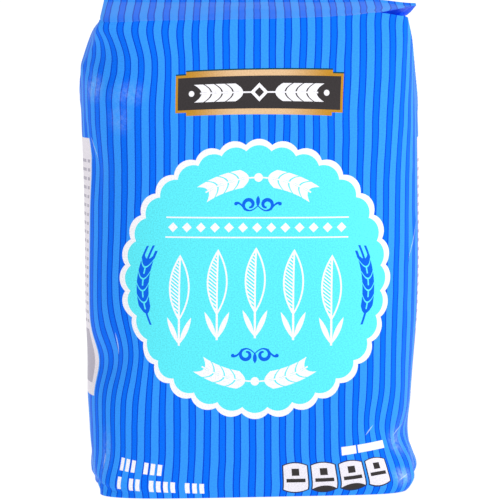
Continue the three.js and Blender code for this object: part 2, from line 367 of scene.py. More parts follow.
def add_slopes(bm):
    """Both slopes. The front's paper turns over the ridge and is glued down on the back as a strip."""
    even = np.linspace(0, 1, FRONT_STEPS + 1)
    for side, across in (("front", even), ("back", even[::-1])):
        rows = np.array([slope_points(side, across, up) for up in slope_steps(side)])
        drift = rows[:, :, 0] - rows[0, :, 0]
        travel = np.linalg.norm((rows - rows[0])[:, :, 1:], axis=-1)
        turn = 1 if side == "front" else -1
        inside = np.minimum(across, 1 - across) * (RIDGE_RIGHT - RIDGE_LEFT)
        raised = np.minimum(1, slope_steps(side) / STIFF_RISE)[:, None]
        free = 1 - raised * (1 - smoothstep(inside, 0, STIFF_EDGE))
        marks = np.stack([slope_rounds(side, across) + turn * drift, CREASE_HEIGHT + travel], axis=-1)
        if side == "front":
            ridge = marks[-1, ::-1]
        else:
            past = np.linalg.norm((rows - rows[-1])[:, :, 1:], axis=-1)
            strip = past[:, 0] < STRIP_WIDTH + STRIP_MARGIN
            marks[strip, :, 0] = ridge[:, 0] + GIRTH
            marks[strip, :, 1] = ridge[:, 1] + past[strip]
        sheet(bm, rows, marks, free)


def add_tucks(bm):
    for end in ("left", "right"):
        for side in ("front", "back"):
            up = slope_steps(side)
            if (end == "right") != (side == "front"):
                up = up[::-1]
            inward = np.linspace(0, 1, 2 * TUCK_STEPS + 1)
            rows = np.array([tuck_points(end, side, up, part) for part in inward])
            steps = np.linalg.norm(np.diff(rows, axis=0), axis=-1)
            travel = np.concatenate([np.zeros((1, len(up))), np.cumsum(steps, axis=0)])
            rounds = np.broadcast_to(tuck_rounds(end, side, up), travel.shape)
            marks = np.stack([rounds, CREASE_HEIGHT + travel], axis=-1)
            sheet(bm, rows, marks, free=1 - smoothstep(inward, 0, STIFF_TUCK)[:, None], tucked=True)


def add_base(bm, columns):
    edge = wall_points(columns, 0)
    flat = edge * (BASE_FLAT, BASE_FLAT, 0)
    inner = [flat * part for part in np.linspace(0, 1, BASE_STEPS + 1)]
    outer = [lerp(flat, edge, part) for part in np.linspace(0, 1, BASE_EDGE_STEPS + 1)[1:]]
    rows = np.array(inner + outer)
    marks = np.stack([rows[:, :, 0], rows[:, :, 1] - FRONT_REACH[0][1]], axis=-1)
    sheet(bm, rows, marks)


# Soft crumples of the paper, as (size, depth) of each layer
CRUMPLES = ((46, 0.55), (21, 0.3), (9, 0.1))
# How loose the paper is over the flour, by height
LOOSE = ((0, 1), (25, 0.75), (60, 0.35), (170, 0.35), (200, 0.8), (CREASE_HEIGHT, 1))
# The height where crumples are at full depth, and where all other relief is, so that the sack's
# bottom stays flat
CRUMPLES_FULL = 10
RELIEF_FULL = 2.4

# Soft hollows in the paper alone, laid out as in DENTS. A negative depth stands proud.
HOLLOWS = (
    (-67, 212, 17, 13, 3), (-92, 216, 10, 12, 0.5), (-64, 188, 11, 10, -1.4), (-67, 70, 8, 16, 0.9),
    (75, 24, 9, 9, 1), (93, 190, 12, 34, 0.5), (-88, 188, 9, 14, 0.4), (60, 33, 9, 6, 0.6),
    (-60, 20, 14, 12, 0.6), (165, 120, 22, 40, 0.9), (-150, 150, 22, 24, 0.8),
)

# Creases: their points as (distance round, height), depth and width. A negative depth stands proud.
CREASES = (
    (((112, 0), (112, 60), (113, 150), (112, CREASE_HEIGHT)), 0.9, 2.2),
    (((-112, 0), (-113, 80), (-111, 160), (-112, CREASE_HEIGHT)), 0.9, 2.2),
    (((70, CREASE_HEIGHT), (112, 176), (154, CREASE_HEIGHT)), -0.6, 1.6),
    (((-70, CREASE_HEIGHT), (-112, 176), (-154, CREASE_HEIGHT)), -0.6, 1.6),
    (((-86, 201), (-74, 192.5), (-65.3, 197.3), (-56, 200.6), (-51.3, 205)), 0.7, 2.6),
    (((-88, 173.5), (-86, 158.3)), 0.6, 2),
    (((-84, 168), (-79, 157.3)), -0.4, 1.6),
    (((-77.5, 154), (-76, 116), (-75, 92)), 0.3, 1.6),
    (((-65.5, 78), (-67, 66)), -0.4, 1.3),
    (((-74, 84), (-71, 70), (-68, 56)), 0.5, 2),
    (((88, 128.6), (79.5, 110.5)), -0.5, 1.5),
    (((84, 150), (81, 120), (80, 88)), 0.4, 1.6),
    (((77, 168), (76, 140)), 0.3, 1.4),
    (((53, 29), (59.5, 34.8)), -0.35, 1.2),
    (((74, 27), (81, 33)), -0.5, 1.5),
    (((62, 34), (72, 22), (76, 8)), 0.4, 2),
    (((-82, 8), (-74, 6), (-66, 3), (-58, 1)), 1.9, 1.5),
    (((150, 196), (168, 176), (171, 150)), 0.5, 1.8),
    (((-138, 60), (-150, 34), (-172, 22)), 0.5, 1.8),
)
# How round a crease's edge is
CREASE_TIP = 0.25


def crease_depth(around, up, points, depth, width):
    """How far one crease pushes in each place of the paper."""
    nearest = np.full(len(around), float(GIRTH))
    for start, end in zip(points, points[1:]):
        run = np.subtract(end, start)
        across = (around - start[0] + GIRTH / 2) % GIRTH - GIRTH / 2
        part = np.clip((across * run[0] + (up - start[1]) * run[1]) / (run @ run), 0, 1)
        nearest = np.minimum(nearest, np.hypot(across - part * run[0], up - start[1] - part * run[1]))
    return depth * np.exp(-np.hypot(nearest, CREASE_TIP) / width)


def relief(around, up):
    """How far the paper stands out over the plain form, from its crumples and creases."""
    angle = around / GIRTH * 2 * math.pi
    radius = GIRTH / (2 * math.pi)
    height = np.zeros(len(around))
    for size, depth in CRUMPLES:
        for i, (turn, level) in enumerate(zip(angle, up)):
            spot = Vector((radius * math.cos(turn), radius * math.sin(turn), level)) / size
            height[i] -= depth * abs(noise.noise(spot))
    height *= along(LOOSE, up) * smoothstep(up, 0, CRUMPLES_FULL)
    for hollow_around, hollow_up, across, high, depth in HOLLOWS:
        offset = (around - hollow_around + GIRTH / 2) % GIRTH - GIRTH / 2
        height -= depth * np.exp(-FALLOFF * ((offset / across) ** 2 + ((up - hollow_up) / high) ** 2))
    for points, depth, width in CREASES:
        height -= crease_depth(around, up, points, depth, width)
    return height * smoothstep(up, 0, RELIEF_FULL)


def sack_mesh(name, crumple):
    """The closed sack, with its paper map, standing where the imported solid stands."""
    bm = bmesh.new()
    bm.loops.layers.uv.new(PAPER_MAP)
    for layer in VERTEX_LAYERS:
        bm.verts.layers.float.new(layer)
    columns = wall_columns()
    add_walls(bm, columns)
    add_slopes(bm)
    add_tucks(bm)
    add_base(bm, columns)
    bmesh.ops.remove_doubles(bm, verts=bm.verts, dist=MERGE_DISTANCE)
    bmesh.ops.dissolve_degenerate(bm, edges=bm.edges, dist=SHORTEST_EDGE)
    bm.normal_update()
    layers = [bm.verts.layers.float[layer] for layer in VERTEX_LAYERS]
    around, up, free = np.array([[vertex[layer] for layer in layers] for vertex in bm.verts]).T
    corners = np.array([vertex.co for vertex in bm.verts])
    low, high = (np.array(corner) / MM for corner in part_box(SOLID))
    middle = (corners.min(axis=0) + corners.max(axis=0)) / 2
    shift = (low + high) / 2 - middle
    shift[2] = low[2] - corners[:, 2].min()
    for vertex, out in zip(bm.verts, relief(around, up) * free * crumple):
        vertex.co = (vertex.co + vertex.normal * out + Vector(shift)) * MM
    for edge in bm.edges:
        edge.smooth = edge.is_manifold and edge.calc_face_angle() < SHARP_FOLD
    open_edges = sum(not edge.is_manifold for edge in bm.edges)
    if open_edges:
        raise RuntimeError(f"the sack has {open_edges} open edges")
    mesh = bpy.data.meshes.new(name)
    bm.to_mesh(mesh)
    bm.free()
    return mesh


def linear(code):
    """An sRGB hex colour as linear red, green, blue and alpha."""
    channels = [int(code[i:i + 2], 16) / 255 for i in (1, 3, 5)]
    return [c / 12.92 if c <= 0.04045 else ((c + 0.055) / 1.055) ** 2.4 for c in channels] + [1]


def add(tree, kind, inputs=(), out=0, **settings):
    """Adds a node with its settings, fills its inputs with values or links, and gives its output."""
    node = tree.nodes.new("ShaderNode" + kind)
    for name, value in settings.items():
        setattr(node, name, value)
    for key, value in inputs.items() if isinstance(inputs, dict) else enumerate(inputs):
        if isinstance(value, bpy.types.NodeSocket):
            tree.links.new(value, node.inputs[key])
        else:
            node.inputs[key].default_value = value
    return node.outputs[out] if node.outputs else None


# The print, in millimetres on the flat tube
STRIPE_PITCH = 7
STRIPE_MIDDLE = 0.9
STRIPE_HALF = 1.45
STRIPE_LINE = 0.28
# How far the stripes waver, and over what length
WAVER = 0.5
WAVER_LENGTH = 14.3
PRINT_MIDDLE = 2
# The white side panels: their middle and half width on the left and the right, height and half
# height, their rows of bars, and the middle and half size of the rows' field and of the block
PANEL = SimpleNamespace(
    sides=((-112, 26), (116, 24)), height=106.5, high=60.5, row_pitch=4.2, row_high=1.5,
    bar_pitch=11.3, bar_wide=9.6, rows=((113.5, 118), (26, 40)), block=((114, 64), (24.5, 12.5)),
)
BADGE_HEIGHT = 103.3
BUMPS = 32
RIM = SimpleNamespace(middle=57.3, bump=8, inside=58)
FACE = SimpleNamespace(middle=54.9, bump=7.5, inside=56)
# What stands on a stem of leaf pairs has the stem's start, the pairs' pitch and number, a leaf's half
# width, how far its tip bends back, and half the slot between a pair
EAR = SimpleNamespace(
    reach=53.4, height=98.6, bow=0.01206, start=87.05, pitch=5.53, pairs=4, half=3, bend=0.4, slot=0.35,
)
EAR_TIP = SimpleNamespace(
    start=EAR.start + EAR.pitch * EAR.pairs, pitch=EAR.pitch, pairs=0.62, half=3.2, bend=0.4, slot=0
)
# The bristles of an ear: how far across, and from what height to what height
AWNS = ((2.75, 113.2, 118.7), (0, 112, 119), (-2.45, 112.8, 116.5), (0, 81.9, 88))
AWN_HALF = 0.55
# How long a leaf is, and where the slot between a pair starts, as parts of the pitch up its stem
LEAF_LENGTH = 0.86
LEAF_SLOT = 0.36
# The scrolls: how far they are from the badge's middle, each spiral's middle, radius, winding and line,
# then the line to the middle and the tail, each with its lowest point, bend, turning place, middle,
# half length and half width, and then the round ends and the stalk
SCROLL = SimpleNamespace(
    lift=34.9, eye=4.16, radius=2.65, winding=1.45, thin=0.4, swell=0.46,
    curves=((-2.75, 0.136, 4.16, 2.08, 2.08, 0.34), (0.85, -0.26, 9.7, 8.3, 2.1, 0.55)),
    dots=((10.3, 0.5), (0, 2.6)), dot=0.85, stalk=((0, 1.6), (0.9, 2.6)),
)
GARLAND = SimpleNamespace(
    radius=47.5, start=4.5, pitch=5.2, pairs=4, half=4.2, bend=0.2, slot=0.45, stem=13, line=0.35, flower=2,
)
BEADS = SimpleNamespace(height=127.6, pitch=6.6, size=2.3, reach=43, rule=4.6, line=0.32)
# Each shape of a stalk as the place of its middle and its half size, and a leaf's turn
STALK = SimpleNamespace(
    pitch=17.8, foot=76, reach=44.5, droop=0.9, ear=((0, 27), (4.9, 15.5)), grain=((0, 27), (4.1, 14)),
    rib=0.4, slant=0.8, hatch=1.7, hatch_line=0.8, stem=((0, 6), (0.5, 6)),
    leaves=(((-3, 7), (1.2, 6.8), 0.42), ((3, 7), (1.2, 6.8), -0.42)),
)
PLAQUE = SimpleNamespace(
    height=189.8, arch=0.0007, wide=39.2, high=8.5, inner=34.1, tall=10, border=1.15, edge=0.65,
    shine=(34, 8),
)
SPRIG = SimpleNamespace(
    start=7.5, pitch=5, pairs=4, half=4, bend=0.22, slot=0.4, stem=((15.5, 0), (12, 0.35)), lozenge=3.2,
    line=1, tip=(31.5, 0), dot=1.3,
)
# Rows of upright bars: where they start, their pitch, width and half height, and where their tilt
# turns round, how much it is and how it grows upward. Then each group's first and last bar and level
CORNER = SimpleNamespace(
    start=-62.5, pitch=3.3, width=2.1, half=2.6, hinge=-42, tilt=0.028, tilt_growth=0.006
)
CORNER_GROUPS = ((0, 3, 13.6), (4, 7, 13.6), (0, 1, 5.75), (2, 4, 5.75), (5, 9, 5.75), (10, 13, 5.75))
TILES = SimpleNamespace(
    middle=39.4, pitch=12.75, height=9.4, half=7.75, wide=5.95, line=0.6, barrel=-0.045,
    upper=((0, 2.6), (1.7, 1.8)), lower=((0, -1.6), (4.2, 0.9)), lens=((0, -14.2), 9.8),
)
HEADING = SimpleNamespace(tilt=-0.09, height=18.2, half=2.2, bars=((46, 3.6), (58.3, 7.8)))


def paper_place(tree):
    """Where a point lies on the paper: round and up the tube, and from the badge's two axes."""
    paper = add(tree, "UVMap", uv_map=PAPER_MAP)
    around, up = add(tree, "SeparateXYZ", [paper], out=slice(0, 2))
    around = add(tree, "Math", [around, GIRTH / 2, -GIRTH / 2], operation="WRAP")
    panel = add(tree, "Math", [around, GIRTH / 4, -GIRTH / 4], operation="WRAP")
    across = add(tree, "Math", [panel, PRINT_MIDDLE], operation="SUBTRACT")
    side = add(tree, "Math", [across], operation="ABSOLUTE")
    above = add(tree, "Math", [up, BADGE_HEIGHT], operation="SUBTRACT")
    lift = add(tree, "Math", [above], operation="ABSOLUTE")
    return SimpleNamespace(
        paper=paper, around=around, up=up, panel=panel, across=across, side=side, above=above, lift=lift
    )


def box(tree, x, y, at, half):
    """1 inside an upright rectangle."""
    wide = add(tree, "Math", [x, at[0], half[0]], operation="COMPARE")
    high = add(tree, "Math", [y, at[1], half[1]], operation="COMPARE")
    return add(tree, "Math", [wide, high], operation="MULTIPLY")


def disc(tree, x, y, at, radius):
    """1 inside a circle."""
    spot = add(tree, "CombineXYZ", [x, y])
    away = add(tree, "VectorMath", [spot, (*at, 0)], out=1, operation="DISTANCE")
    return add(tree, "Math", [away, radius], operation="LESS_THAN")


def blade(tree, x, y, at, half, turn=0):
    """1 inside a leaf with two pointed ends, long along y before it is turned."""
    spot = add(tree, "CombineXYZ", [x, y])
    spot = add(tree, "Mapping", [spot, (*at, 0), (0, 0, turn), (*half, 1)], vector_type="TEXTURE")
    x, y = add(tree, "SeparateXYZ", [spot], out=slice(0, 2))
    x = add(tree, "Math", [x], operation="ABSOLUTE")
    edge = add(tree, "Math", [y, y, x], operation="MULTIPLY_ADD")
    return add(tree, "Math", [edge, 1], operation="LESS_THAN")


def join(tree, masks):
    """1 where any of the shapes is."""
    whole = masks[0]
    for mask in masks[1:]:
        whole = add(tree, "Math", [whole, mask], operation="MAXIMUM")
    return whole


def leaf_pairs(tree, across, along_stem, stem):
    """Pairs of leaves up a stem, each pair a V with a slot between its leaves."""
    away = add(tree, "Math", [across], operation="ABSOLUTE")
    square = add(tree, "Math", [away, away], operation="MULTIPLY")
    level = add(tree, "Math", [square, -stem.bend, along_stem], operation="MULTIPLY_ADD")
    level = add(tree, "Math", [level, stem.start], operation="SUBTRACT")
    length = stem.pitch * stem.pairs
    here = add(tree, "Math", [level, length / 2, length / 2], operation="COMPARE")
    rise = add(tree, "Math", [level, stem.pitch, 0], operation="WRAP")
    leaf = add(tree, "Math", [rise, LEAF_LENGTH * stem.pitch], operation="LESS_THAN")
    near = add(tree, "Math", [away, stem.half], operation="LESS_THAN")
    high = add(tree, "Math", [rise, LEAF_SLOT * stem.pitch], operation="GREATER_THAN")
    gap = add(tree, "Math", [away, stem.slot], operation="LESS_THAN")
    gap = add(tree, "Math", [high, gap], operation="MULTIPLY")
    mask = add(tree, "Math", [leaf, near], operation="MULTIPLY")
    mask = add(tree, "Math", [mask, here], operation="MULTIPLY")
    return add(tree, "Math", [mask, gap], operation="SUBTRACT", use_clamp=True)


def stripe_reach(tree, place):
    """Distance from the middle of the nearest dark stripe, with a slight waver."""
    size = {"Vector": place.paper, "Scale": 1 / WAVER_LENGTH, "Detail": 1}
    waver = add(tree, "TexNoise", size, noise_dimensions="2D")
    shifted = add(tree, "Math", [waver, WAVER, place.around], operation="MULTIPLY_ADD")
    shifted = add(tree, "Math", [shifted, STRIPE_MIDDLE + WAVER / 2], operation="SUBTRACT")
    half = STRIPE_PITCH / 2
    phase = add(tree, "Math", [shifted, half, -half], operation="WRAP")
    return add(tree, "Math", [phase], operation="ABSOLUTE")


def dark_stripes(tree, place):
    return add(tree, "Math", [stripe_reach(tree, place), STRIPE_HALF], operation="LESS_THAN")


def stripe_lines(tree, place):
    reach = stripe_reach(tree, place)
    return add(tree, "Math", [reach, STRIPE_HALF, STRIPE_LINE], operation="COMPARE")


def side_fields(tree, place):
    """White panels on both gusseted sides."""
    return join(tree, [
        box(tree, place.around, place.up, (middle, PANEL.height), (half, PANEL.high))
        for middle, half in PANEL.sides
    ])


def side_rows(tree, place):
    """Grey bars in rows on the side panels, and a grey block below them."""
    row = add(tree, "Math", [place.up, PANEL.row_pitch, 0], operation="WRAP")
    row = add(tree, "Math", [row, PANEL.row_high], operation="LESS_THAN")
    bar = add(tree, "Math", [place.around, PANEL.bar_pitch, 0], operation="WRAP")
    bar = add(tree, "Math", [bar, PANEL.bar_wide], operation="LESS_THAN")
    row = add(tree, "Math", [row, bar], operation="MULTIPLY")
    side = add(tree, "Math", [place.around], operation="ABSOLUTE")
    field = box(tree, side, place.up, *PANEL.rows)
    row = add(tree, "Math", [row, field], operation="MULTIPLY")
    block = box(tree, side, place.up, *PANEL.block)
    return add(tree, "Math", [join(tree, [row, block]), side_fields(tree, place)], operation="MULTIPLY")


def scallops(tree, place, edge):
    """1 inside a round badge whose edge is a row of bumps."""
    spot = add(tree, "CombineXYZ", [place.across, place.above])
    reach = add(tree, "VectorMath", [spot], out=1, operation="LENGTH")
    angle = add(tree, "Math", [place.above, place.across], operation="ARCTAN2")
    half = math.pi / BUMPS
    angle = add(tree, "Math", [angle, half, -half], operation="WRAP")
    cosine = add(tree, "Math", [angle], operation="COSINE")
    ahead = add(tree, "Math", [reach, cosine], operation="MULTIPLY")
    square = add(tree, "Math", [reach, reach], operation="MULTIPLY")
    away = add(tree, "Math", [ahead, -2 * edge.middle, square], operation="MULTIPLY_ADD")
    bumps = add(tree, "Math", [away, edge.bump**2 - edge.middle**2], operation="LESS_THAN")
    inside = add(tree, "Math", [reach, edge.inside], operation="LESS_THAN")
    return join(tree, [bumps, inside])


def badge_rim(tree, place):
    return scallops(tree, place, RIM)


def badge_face(tree, place):
    return scallops(tree, place, FACE)


def wheat_ears(tree, place):
    """An ear of wheat at each side of the badge, bowed outward with it."""
    rise = add(tree, "Math", [place.up, EAR.height], operation="SUBTRACT")
    bow = add(tree, "Math", [rise, rise], operation="MULTIPLY")
    bow = add(tree, "Math", [bow, EAR.bow, place.side], operation="MULTIPLY_ADD")
    across = add(tree, "Math", [bow, EAR.reach], operation="SUBTRACT")
    ear = join(tree, [leaf_pairs(tree, across, place.up, stem) for stem in (EAR, EAR_TIP)])
    for x, low, high in AWNS:
        awn = box(tree, across, place.up, (x, (low + high) / 2), (AWN_HALF, (high - low) / 2))
        ear = join(tree, [ear, awn])
    return ear


def scrolls(tree, place):
    """A pair of mirrored spirals with tails, above and below the middle of the badge."""
    y = add(tree, "Math", [place.lift, SCROLL.lift], operation="SUBTRACT")
    x = add(tree, "Math", [place.side, SCROLL.eye], operation="SUBTRACT")
    spot = add(tree, "CombineXYZ", [x, y])
    reach = add(tree, "VectorMath", [spot], out=1, operation="LENGTH")
    down = add(tree, "Math", [y, -1], operation="MULTIPLY")
    angle = add(tree, "Math", [x, down], operation="ARCTAN2")
    angle = add(tree, "Math", [angle, 2 * math.pi, 0], operation="WRAP")
    square = add(tree, "Math", [angle, angle], operation="MULTIPLY")
    winding = -SCROLL.winding / (2 * math.pi) ** 2
    curl = add(tree, "Math", [square, winding, SCROLL.radius], operation="MULTIPLY_ADD")
    half = add(tree, "Math", [angle, 0.5], operation="MULTIPLY")
    half = add(tree, "Math", [half], operation="SINE")
    half = add(tree, "Math", [half, SCROLL.swell, SCROLL.thin], operation="MULTIPLY_ADD")
    whole = add(tree, "Math", [reach, curl, half], operation="COMPARE")
    for bottom, bend, start, middle, wide, thick in SCROLL.curves:
        off = add(tree, "Math", [place.side, start], operation="SUBTRACT")
        off = add(tree, "Math", [off, off], operation="MULTIPLY")
        curve = add(tree, "Math", [off, bend, bottom], operation="MULTIPLY_ADD")
        on = add(tree, "Math", [y, curve, thick], operation="COMPARE")
        here = add(tree, "Math", [place.side, middle, wide], operation="COMPARE")
        line = add(tree, "Math", [on, here], operation="MULTIPLY")
        whole = join(tree, [whole, line])
    dots = [disc(tree, place.side, y, at, SCROLL.dot) for at in SCROLL.dots]
    stalk = blade(tree, place.side, y, *SCROLL.stalk)
    return join(tree, [whole, *dots, stalk])


def garlands(tree, place):
    """Leafy garlands that follow the badge's edge, above and below its middle."""
    spot = add(tree, "CombineXYZ", [place.side, place.lift])
    reach = add(tree, "VectorMath", [spot], out=1, operation="LENGTH")
    across = add(tree, "Math", [reach, GARLAND.radius], operation="SUBTRACT")
    angle = add(tree, "Math", [place.side, place.lift], operation="ARCTAN2")
    run = add(tree, "Math", [angle, GARLAND.radius], operation="MULTIPLY")
    leaves = leaf_pairs(tree, across, run, GARLAND)
    stem = box(tree, across, run, (0, GARLAND.stem), (GARLAND.line, GARLAND.stem))
    flower = disc(tree, across, run, (0, 0), GARLAND.flower)
    return join(tree, [leaves, stem, flower])


def beads(tree, place):
    """A row of lozenges between two thin lines."""
    half = BEADS.pitch / 2
    step = add(tree, "Math", [place.across, half, -half], operation="WRAP")
    step = add(tree, "Math", [step], operation="ABSOLUTE")
    off = add(tree, "Math", [place.up, BEADS.height], operation="SUBTRACT")
    off = add(tree, "Math", [off], operation="ABSOLUTE")
    total = add(tree, "Math", [step, off], operation="ADD")
    lozenge = add(tree, "Math", [total, BEADS.size], operation="LESS_THAN")
    line = add(tree, "Math", [off, BEADS.rule, BEADS.line], operation="COMPARE")
    row = join(tree, [lozenge, line])
    here = add(tree, "Math", [place.side, BEADS.reach], operation="LESS_THAN")
    return add(tree, "Math", [row, here], operation="MULTIPLY")


def stalks(tree, place):
    """Five tall stalks of grain: a hatched ear drawn in outline, on a stem with two blades."""
    half = STALK.pitch / 2
    x = add(tree, "Math", [place.across, half, -half], operation="WRAP")
    cell = add(tree, "Math", [place.across, x], operation="SUBTRACT")
    cell = add(tree, "Math", [cell, 1 / STALK.pitch], operation="MULTIPLY")
    drop = add(tree, "Math", [cell, cell], operation="MULTIPLY")
    y = add(tree, "Math", [drop, STALK.droop, place.up], operation="MULTIPLY_ADD")
    y = add(tree, "Math", [y, STALK.foot], operation="SUBTRACT")
    outer = blade(tree, x, y, *STALK.ear)
    inner = blade(tree, x, y, *STALK.grain)
    rib = add(tree, "Math", [x, 0, STALK.rib], operation="COMPARE")
    slant = add(tree, "Math", [x, STALK.slant, y], operation="MULTIPLY_ADD")
    hatch = add(tree, "Math", [slant, STALK.hatch, 0], operation="WRAP")
    hatch = add(tree, "Math", [hatch, STALK.hatch_line], operation="LESS_THAN")
    left = add(tree, "Math", [x, 0], operation="LESS_THAN")
    hatch = add(tree, "Math", [hatch, left], operation="MULTIPLY")
    open_part = add(tree, "Math", [inner, join(tree, [rib, hatch])], operation="SUBTRACT", use_clamp=True)
    ear = add(tree, "Math", [outer, open_part], operation="SUBTRACT", use_clamp=True)
    stem = box(tree, x, y, *STALK.stem)
    leaves = [blade(tree, x, y, *leaf) for leaf in STALK.leaves]
    whole = join(tree, [ear, stem, *leaves])
    here = add(tree, "Math", [place.side, STALK.reach], operation="LESS_THAN")
    return add(tree, "Math", [whole, here], operation="MULTIPLY")


def plaque_level(tree, place, lift=0):
    """Height above the middle of the plaque, which is arched a little."""
    square = add(tree, "Math", [place.side, place.side], operation="MULTIPLY")
    level = add(tree, "Math", [square, PLAQUE.arch, place.up], operation="MULTIPLY_ADD")
    return add(tree, "Math", [level, PLAQUE.height + lift], operation="SUBTRACT")


def plaque(tree, place, lift=0):
    """1 inside a wide plaque with stepped corners."""
    level = plaque_level(tree, place, lift)
    wide = box(tree, place.side, level, (0, 0), (PLAQUE.wide, PLAQUE.high))
    tall = box(tree, place.side, level, (0, 0), (PLAQUE.inner, PLAQUE.tall))
    return join(tree, [wide, tall])


def plaque_edge(tree, place):
    """A dark line along the top of the plaque."""
    return plaque(tree, place, lift=PLAQUE.edge)


def plaque_gold(tree, place):
    return plaque(tree, place)


def plaque_shine(tree, place):
    """The paler gold in the middle of the plaque's border."""
    fade = [place.side, *PLAQUE.shine, 0, 1]
    near = add(tree, "MapRange", fade, interpolation_type="SMOOTHSTEP")
    return add(tree, "Math", [plaque(tree, place), near], operation="MULTIPLY")


def plaque_field(tree, place):
    level = plaque_level(tree, place)
    half = (PLAQUE.wide - PLAQUE.border, PLAQUE.high - PLAQUE.border)
    return box(tree, place.side, level, (0, 0), half)


def plaque_sprig(tree, place):
    """Two leafy sprigs that point away from a lozenge."""
    off = plaque_level(tree, place)
    leaves = leaf_pairs(tree, off, place.side, SPRIG)
    stem = box(tree, place.side, off, *SPRIG.stem)
    reach = add(tree, "Math", [off], operation="ABSOLUTE")
    reach = add(tree, "Math", [reach, place.side], operation="ADD")
    lozenge = add(tree, "Math", [reach, SPRIG.lozenge, SPRIG.line], operation="COMPARE")
    tip = disc(tree, place.side, off, SPRIG.tip, SPRIG.dot)
    return join(tree, [leaves, stem, lozenge, tip])


def corner_bars(tree, place):
    """Two rows of short upright bars at the lower left, the upper row steeper than the lower one."""
    run = add(tree, "Math", [place.panel, CORNER.start], operation="SUBTRACT")
    bar = add(tree, "Math", [run, CORNER.pitch, 0], operation="WRAP")
    bar = add(tree, "Math", [bar, CORNER.width], operation="LESS_THAN")
    tilt = add(tree, "Math", [place.up, CORNER.tilt_growth, CORNER.tilt], operation="MULTIPLY_ADD")
    past = add(tree, "Math", [place.panel, CORNER.hinge], operation="SUBTRACT")
    level = add(tree, "Math", [past, tilt, place.up], operation="MULTIPLY_ADD")
    groups = []
    for first, last, height in CORNER_GROUPS:
        middle = ((first + last) / 2 * CORNER.pitch, height)
        groups.append(box(tree, run, level, middle, ((last - first) / 2 * CORNER.pitch, CORNER.half)))
    return add(tree, "Math", [join(tree, groups), bar], operation="MULTIPLY")


def tile_parts(tree, place, shrink):
    """1 inside a row of four barrel-shaped tiles, drawn smaller by a margin."""
    shifted = add(tree, "Math", [place.panel, TILES.middle], operation="SUBTRACT")
    x = add(tree, "Math", [shifted, TILES.pitch, 0], operation="WRAP")
    x = add(tree, "Math", [x, TILES.pitch / 2], operation="SUBTRACT")
    bulge = add(tree, "Math", [x, x], operation="MULTIPLY")
    bulge = add(tree, "Math", [bulge, TILES.barrel, TILES.half - shrink], operation="MULTIPLY_ADD")
    off = add(tree, "Math", [place.up, TILES.height], operation="SUBTRACT")
    high = add(tree, "Math", [off, 0, bulge], operation="COMPARE")
    wide = add(tree, "Math", [x, 0, TILES.wide - shrink], operation="COMPARE")
    here = add(tree, "Math", [shifted, 0, 2 * TILES.pitch], operation="COMPARE")
    high = add(tree, "Math", [high, here], operation="MULTIPLY")
    return add(tree, "Math", [high, wide], operation="MULTIPLY"), x, off, shifted


def tile_outlines(tree, place):
    return tile_parts(tree, place, 0)[0]


def tile_faces(tree, place):
    return tile_parts(tree, place, TILES.line)[0]


def tile_marks(tree, place):
    """Plain dark bars on the tiles, and a dark lens at the foot of the two in the middle."""
    face, x, off, shifted = tile_parts(tree, place, TILES.line)
    upper = box(tree, x, off, *TILES.upper)
    lower = box(tree, x, off, *TILES.lower)
    lens = disc(tree, x, off, *TILES.lens)
    middle = add(tree, "Math", [shifted, 0, TILES.pitch], operation="COMPARE")
    lens = add(tree, "Math", [lens, middle], operation="MULTIPLY")
    marks = join(tree, [upper, lower, lens])
    return add(tree, "Math", [marks, face], operation="MULTIPLY")


def heading_bars(tree, place):
    """A short and a long bar over the tiles."""
    level = add(tree, "Math", [place.panel, HEADING.tilt, place.up], operation="MULTIPLY_ADD")
    return join(tree, [
        box(tree, place.panel, level, (middle, HEADING.height), (half, HEADING.half))
        for middle, half in HEADING.bars
    ])


# Pale patches, partly ink rubbed to a bloom and partly painted sheen: place on the print, reach both ways,
# and strength
RUBBED_AND_SHEEN = (
    (-79.5, 191, 9, 9, 0.26), (-60, 189, 12, 8, 0.14), (76, 24, 8, 10, 0.26), (73, 5, 9, 6, 0.45),
    (-64, 177, 8, 10, 0.12), (-74, 20, 6, 18, 0.14), (180, 60, 12, 20, 0.15),
)
# Thin pale lines along creases, partly ink cracked by the fold and partly a painted highlight on it: place
# on the print, half length and turn
CREASE_LINES = (
    (58.4, 32, 3.8, -0.87), (78.8, 30, 4.4, -0.97), (-70, 72, 5.5, -0.1), (83.4, 119.5, 10, -0.44),
    (-80.3, 162.6, 6, 0.43), (-74.8, 17, 3.5, 0), (73.3, 4.5, 4, -1.2), (150, 180, 8, 0.8),
    (-158, 30, 7, -1),
)
CREASE_LINE_HALF = 0.3
# How much of the print's colour the crease lines and the painted shade in the tucks cover
CREASE_LINE_COVER = 0.7
TUCK_SHADE_COVER = 0.75
# The fineness of the grain in the pale patches of rubbed ink and painted sheen, and of the paper's fibres,
# which are drawn several times as coarse as real ones so that they show
RUBBED_AND_SHEEN_GRAIN = 2
FIBRE_SIZE = 2 / 3
FIBRE_HEIGHT = 0.05
# From which to which noise level the grain and the fibres vary, and what they vary between there
RUBBED_AND_SHEEN_LEVELS = (0.35, 0.65)
RUBBED_AND_SHEEN_STRENGTH = (0.4, 1.3)
FIBRE_LEVELS = (0.3, 0.7)
FIBRE_SHADE = (0.9, 1.1)
FIBRE_ROUGHNESS = (0.4, 0.52)


